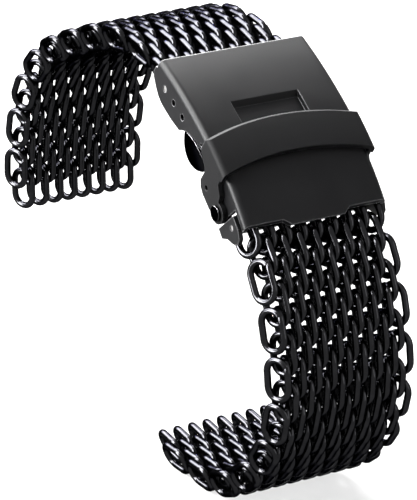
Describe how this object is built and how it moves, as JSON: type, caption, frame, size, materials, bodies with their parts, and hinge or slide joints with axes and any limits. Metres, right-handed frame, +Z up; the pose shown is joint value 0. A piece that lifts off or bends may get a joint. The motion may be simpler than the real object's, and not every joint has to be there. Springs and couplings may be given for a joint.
{
  "type": "mesh watch band",
  "caption": "Heavy wire mesh watch band curved as on the wrist, with a folding clasp, push buttons and a swinging safety bail.",
  "frame": {"origin": "middle of the footprint, on the ground under the lowest rows of the band", "axes": "+X across the width of the band, +Y from the clasp towards the far side of the curve, +Z up"},
  "size_m": [0.0252, 0.0808, 0.0632],
  "materials": {
    "black_wire": "glossy black coated round wire",
    "satin_black_steel": "satin black coated sheet",
    "polished_black_steel": "polished black coated steel",
    "bare_steel": "plain turned steel"
  },
  "bodies": {
    "cover": {"cover": "satin_black_steel", "cover_pin": "bare_steel", "upper_bar": "bare_steel", "bail_rivet_left": "polished_black_steel", "bail_rivet_right": "polished_black_steel"},
    "bail": {"bail": "satin_black_steel"},
    "button_left": {"button_left": "polished_black_steel"},
    "button_right": {"button_right": "polished_black_steel"},
    "outer_leaf": {"outer_leaf": "satin_black_steel"},
    "inner_leaf": {"inner_leaf": "satin_black_steel", "leaf_pin": "bare_steel", "lower_bar": "bare_steel"},
    "upper_row_00": {"upper_row_00": "black_wire"},
    "upper_row_01": {"upper_row_01": "black_wire"},
    "upper_row_02": {"upper_row_02": "black_wire"},
    "upper_row_03": {"upper_row_03": "black_wire"},
    "upper_row_04": {"upper_row_04": "black_wire"},
    "upper_row_05": {"upper_row_05": "black_wire"},
    "upper_row_06": {"upper_row_06": "black_wire"},
    "upper_row_07": {"upper_row_07": "black_wire"},
    "upper_row_08": {"upper_row_08": "black_wire"},
    "upper_row_09": {"upper_row_09": "black_wire"},
    "upper_row_10": {"upper_row_10": "black_wire"},
    "upper_row_11": {"upper_row_11": "black_wire"},
    "upper_row_12": {"upper_row_12": "black_wire"},
    "upper_row_13": {"upper_row_13": "black_wire"},
    "upper_row_14": {"upper_row_14": "black_wire"},
    "upper_row_15": {"upper_row_15": "black_wire"},
    "upper_row_16": {"upper_row_16": "black_wire"},
    "upper_row_17": {"upper_row_17": "black_wire"},
    "upper_row_18": {"upper_row_18": "black_wire"},
    "upper_row_19": {"upper_row_19": "black_wire"},
    "upper_row_20": {"upper_row_20": "black_wire"},
    "lower_row_00": {"lower_row_00": "black_wire"},
    "lower_row_01": {"lower_row_01": "black_wire"},
    "lower_row_02": {"lower_row_02": "black_wire"},
    "lower_row_03": {"lower_row_03": "black_wire"},
    "lower_row_04": {"lower_row_04": "black_wire"},
    "lower_row_05": {"lower_row_05": "black_wire"},
    "lower_row_06": {"lower_row_06": "black_wire"},
    "lower_row_07": {"lower_row_07": "black_wire"},
    "lower_row_08": {"lower_row_08": "black_wire"},
    "lower_row_09": {"lower_row_09": "black_wire"},
    "lower_row_10": {"lower_row_10": "black_wire"},
    "lower_row_11": {"lower_row_11": "black_wire"},
    "lower_row_12": {"lower_row_12": "black_wire"},
    "lower_row_13": {"lower_row_13": "black_wire"},
    "lower_row_14": {"lower_row_14": "black_wire"},
    "lower_row_15": {"lower_row_15": "black_wire"},
    "lower_row_16": {"lower_row_16": "black_wire"},
    "lower_row_17": {"lower_row_17": "black_wire"},
    "lower_row_18": {"lower_row_18": "black_wire"},
    "lower_row_19": {"lower_row_19": "black_wire"}
  },
  "joints": [
    {"name": "bail_swing", "type": "hinge", "parent": "cover", "child": "bail", "pos_m": [0, -0.02587, 0.04487], "axis": [1, 0, 0], "range_deg": [0, 70]},
    {"name": "outer_leaf_swing", "type": "hinge", "parent": "cover", "child": "outer_leaf", "pos_m": [0, -0.02618, 0.04663], "axis": [-1, 0, 0], "range_deg": [0, 160]},
    {"name": "inner_leaf_swing", "type": "hinge", "parent": "outer_leaf", "child": "inner_leaf", "pos_m": [0, -0.01501, 0.05462], "axis": [1, 0, 0], "range_deg": [0, 160]},
    {"name": "button_right_press", "type": "slide", "parent": "cover", "child": "button_right", "axis": [-1, 0, 0], "range_m": [0, 0.0008], "stiffness_N_per_m": 900, "springref_m": -0.0004},
    {"name": "button_left_press", "type": "slide", "parent": "cover", "child": "button_left", "axis": [1, 0, 0], "range_m": [0, 0.0008], "stiffness_N_per_m": 900, "springref_m": -0.0004},
    {"name": "upper_hinge_00", "type": "hinge", "parent": "cover", "child": "upper_row_00", "pos_m": [0, -0.01112, 0.05837], "axis": [-1, 0, 0], "range_deg": [-2, 2]},
    {"name": "upper_hinge_01", "type": "hinge", "parent": "upper_row_00", "child": "upper_row_01", "pos_m": [0, -0.0089, 0.05861], "axis": [-1, 0, 0], "range_deg": [-2, 2.5]},
    {"name": "upper_hinge_02", "type": "hinge", "parent": "upper_row_01", "child": "upper_row_02", "pos_m": [0, -0.00563, 0.05957], "axis": [-1, 0, 0], "range_deg": [-2, 2.5]},
    {"name": "upper_hinge_03", "type": "hinge", "parent": "upper_row_02", "child": "upper_row_03", "pos_m": [0, -0.00237, 0.06053], "axis": [-1, 0, 0], "range_deg": [-10.1, 2.5]},
    {"name": "upper_hinge_04", "type": "hinge", "parent": "upper_row_03", "child": "upper_row_04", "pos_m": [0, 0.00099, 0.06102], "axis": [-1, 0, 0], "range_deg": [-10.1, 2.5]},
    {"name": "upper_hinge_05", "type": "hinge", "parent": "upper_row_04", "child": "upper_row_05", "pos_m": [0, 0.00439, 0.06103], "axis": [-1, 0, 0], "range_deg": [-9.1, 2.5]},
    {"name": "upper_hinge_06", "type": "hinge", "parent": "upper_row_05", "child": "upper_row_06", "pos_m": [0, 0.00777, 0.06062], "axis": [-1, 0, 0], "range_deg": [-9.1, 2.5]},
    {"name": "upper_hinge_07", "type": "hinge", "parent": "upper_row_06", "child": "upper_row_07", "pos_m": [0, 0.01107, 0.0598], "axis": [-1, 0, 0], "range_deg": [-9.1, 2.5]},
    {"name": "upper_hinge_08", "type": "hinge", "parent": "upper_row_07", "child": "upper_row_08", "pos_m": [0, 0.01424, 0.05858], "axis": [-1, 0, 0], "range_deg": [-2, 2.5]},
    {"name": "upper_hinge_09", "type": "hinge", "parent": "upper_row_08", "child": "upper_row_09", "pos_m": [0, 0.01741, 0.05735], "axis": [-1, 0, 0], "range_deg": [-2, 2.5]},
    {"name": "upper_hinge_10", "type": "hinge", "parent": "upper_row_09", "child": "upper_row_10", "pos_m": [0, 0.02058, 0.05613], "axis": [-1, 0, 0], "range_deg": [-5, 2.5]},
    {"name": "upper_hinge_11", "type": "hinge", "parent": "upper_row_10", "child": "upper_row_11", "pos_m": [0, 0.02369, 0.05474], "axis": [-1, 0, 0], "range_deg": [-5, 2.5]},
    {"name": "upper_hinge_12", "type": "hinge", "parent": "upper_row_11", "child": "upper_row_12", "pos_m": [0, 0.02671, 0.05319], "axis": [-1, 0, 0], "range_deg": [-10.3, 2.5]},
    {"name": "upper_hinge_13", "type": "hinge", "parent": "upper_row_12", "child": "upper_row_13", "pos_m": [0, 0.02949, 0.05122], "axis": [-1, 0, 0], "range_deg": [-10.3, 2.5]},
    {"name": "upper_hinge_14", "type": "hinge", "parent": "upper_row_13", "child": "upper_row_14", "pos_m": [0, 0.03194, 0.04888], "axis": [-1, 0, 0], "range_deg": [-10.3, 2.5]},
    {"name": "upper_hinge_15", "type": "hinge", "parent": "upper_row_14", "child": "upper_row_15", "pos_m": [0, 0.03404, 0.04619], "axis": [-1, 0, 0], "range_deg": [-10.6, 2.5]},
    {"name": "upper_hinge_16", "type": "hinge", "parent": "upper_row_15", "child": "upper_row_16", "pos_m": [0, 0.03571, 0.04323], "axis": [-1, 0, 0], "range_deg": [-10.6, 2.5]},
    {"name": "upper_hinge_17", "type": "hinge", "parent": "upper_row_16", "child": "upper_row_17", "pos_m": [0, 0.03691, 0.04006], "axis": [-1, 0, 0], "range_deg": [-10.6, 2.5]},
    {"name": "upper_hinge_18", "type": "hinge", "parent": "upper_row_17", "child": "upper_row_18", "pos_m": [0, 0.03763, 0.03673], "axis": [-1, 0, 0], "range_deg": [-6.6, 2.5]},
    {"name": "upper_hinge_19", "type": "hinge", "parent": "upper_row_18", "child": "upper_row_19", "pos_m": [0, 0.03808, 0.03336], "axis": [-1, 0, 0], "range_deg": [-6.6, 2.5]},
    {"name": "upper_hinge_20", "type": "hinge", "parent": "upper_row_19", "child": "upper_row_20", "pos_m": [0, 0.03826, 0.02997], "axis": [-1, 0, 0], "range_deg": [-6.6, 2.5]},
    {"name": "lower_hinge_00", "type": "hinge", "parent": "inner_leaf", "child": "lower_row_00", "pos_m": [0, -0.02908, 0.04369], "axis": [1, 0, 0], "range_deg": [-2, 2]},
    {"name": "lower_hinge_01", "type": "hinge", "parent": "lower_row_00", "child": "lower_row_01", "pos_m": [0, -0.03087, 0.04119], "axis": [1, 0, 0], "range_deg": [-3.2, 2.5]},
    {"name": "lower_hinge_02", "type": "hinge", "parent": "lower_row_01", "child": "lower_row_02", "pos_m": [0, -0.03313, 0.03865], "axis": [1, 0, 0], "range_deg": [-13, 2.5]},
    {"name": "lower_hinge_03", "type": "hinge", "parent": "lower_row_02", "child": "lower_row_03", "pos_m": [0, -0.03487, 0.03573], "axis": [1, 0, 0], "range_deg": [-9.2, 2.5]},
    {"name": "lower_hinge_04", "type": "hinge", "parent": "lower_row_03", "child": "lower_row_04", "pos_m": [0, -0.03623, 0.03262], "axis": [1, 0, 0], "range_deg": [-9.2, 2.5]},
    {"name": "lower_hinge_05", "type": "hinge", "parent": "lower_row_04", "child": "lower_row_05", "pos_m": [0, -0.03719, 0.02936], "axis": [1, 0, 0], "range_deg": [-6.8, 2.5]},
    {"name": "lower_hinge_06", "type": "hinge", "parent": "lower_row_05", "child": "lower_row_06", "pos_m": [0, -0.03788, 0.02603], "axis": [1, 0, 0], "range_deg": [-6.8, 2.5]},
    {"name": "lower_hinge_07", "type": "hinge", "parent": "lower_row_06", "child": "lower_row_07", "pos_m": [0, -0.03828, 0.02265], "axis": [1, 0, 0], "range_deg": [-13, 2.5]},
    {"name": "lower_hinge_08", "type": "hinge", "parent": "lower_row_07", "child": "lower_row_08", "pos_m": [0, -0.03803, 0.01926], "axis": [1, 0, 0], "range_deg": [-13, 2.5]},
    {"name": "lower_hinge_09", "type": "hinge", "parent": "lower_row_08", "child": "lower_row_09", "pos_m": [0, -0.03714, 0.01598], "axis": [1, 0, 0], "range_deg": [-13, 2.5]},
    {"name": "lower_hinge_10", "type": "hinge", "parent": "lower_row_09", "child": "lower_row_10", "pos_m": [0, -0.03564, 0.01293], "axis": [1, 0, 0], "range_deg": [-13, 2.5]},
    {"name": "lower_hinge_11", "type": "hinge", "parent": "lower_row_10", "child": "lower_row_11", "pos_m": [0, -0.03358, 0.01022], "axis": [1, 0, 0], "range_deg": [-9.7, 2.5]},
    {"name": "lower_hinge_12", "type": "hinge", "parent": "lower_row_11", "child": "lower_row_12", "pos_m": [0, -0.03118, 0.00781], "axis": [1, 0, 0], "range_deg": [-9.7, 2.5]},
    {"name": "lower_hinge_13", "type": "hinge", "parent": "lower_row_12", "child": "lower_row_13", "pos_m": [0, -0.02848, 0.00575], "axis": [1, 0, 0], "range_deg": [-9.7, 2.5]},
    {"name": "lower_hinge_14", "type": "hinge", "parent": "lower_row_13", "child": "lower_row_14", "pos_m": [0, -0.02553, 0.00406], "axis": [1, 0, 0], "range_deg": [-9.7, 2.5]},
    {"name": "lower_hinge_15", "type": "hinge", "parent": "lower_row_14", "child": "lower_row_15", "pos_m": [0, -0.02237, 0.00279], "axis": [1, 0, 0], "range_deg": [-13, 2.5]},
    {"name": "lower_hinge_16", "type": "hinge", "parent": "lower_row_15", "child": "lower_row_16", "pos_m": [0, -0.01904, 0.00214], "axis": [1, 0, 0], "range_deg": [-13, 2.5]},
    {"name": "lower_hinge_17", "type": "hinge", "parent": "lower_row_16", "child": "lower_row_17", "pos_m": [0, -0.01564, 0.00214], "axis": [1, 0, 0], "range_deg": [-2, 2.5]},
    {"name": "lower_hinge_18", "type": "hinge", "parent": "lower_row_17", "child": "lower_row_18", "pos_m": [0, -0.01224, 0.00214], "axis": [1, 0, 0], "range_deg": [-2, 2.5]},
    {"name": "lower_hinge_19", "type": "hinge", "parent": "lower_row_18", "child": "lower_row_19", "pos_m": [0, -0.00884, 0.00214], "axis": [1, 0, 0], "range_deg": [-10, 2.5]}
  ],
  "couplings": [
    {"joint": "inner_leaf_swing", "follows": "outer_leaf_swing", "ratio": 1}
  ]
}
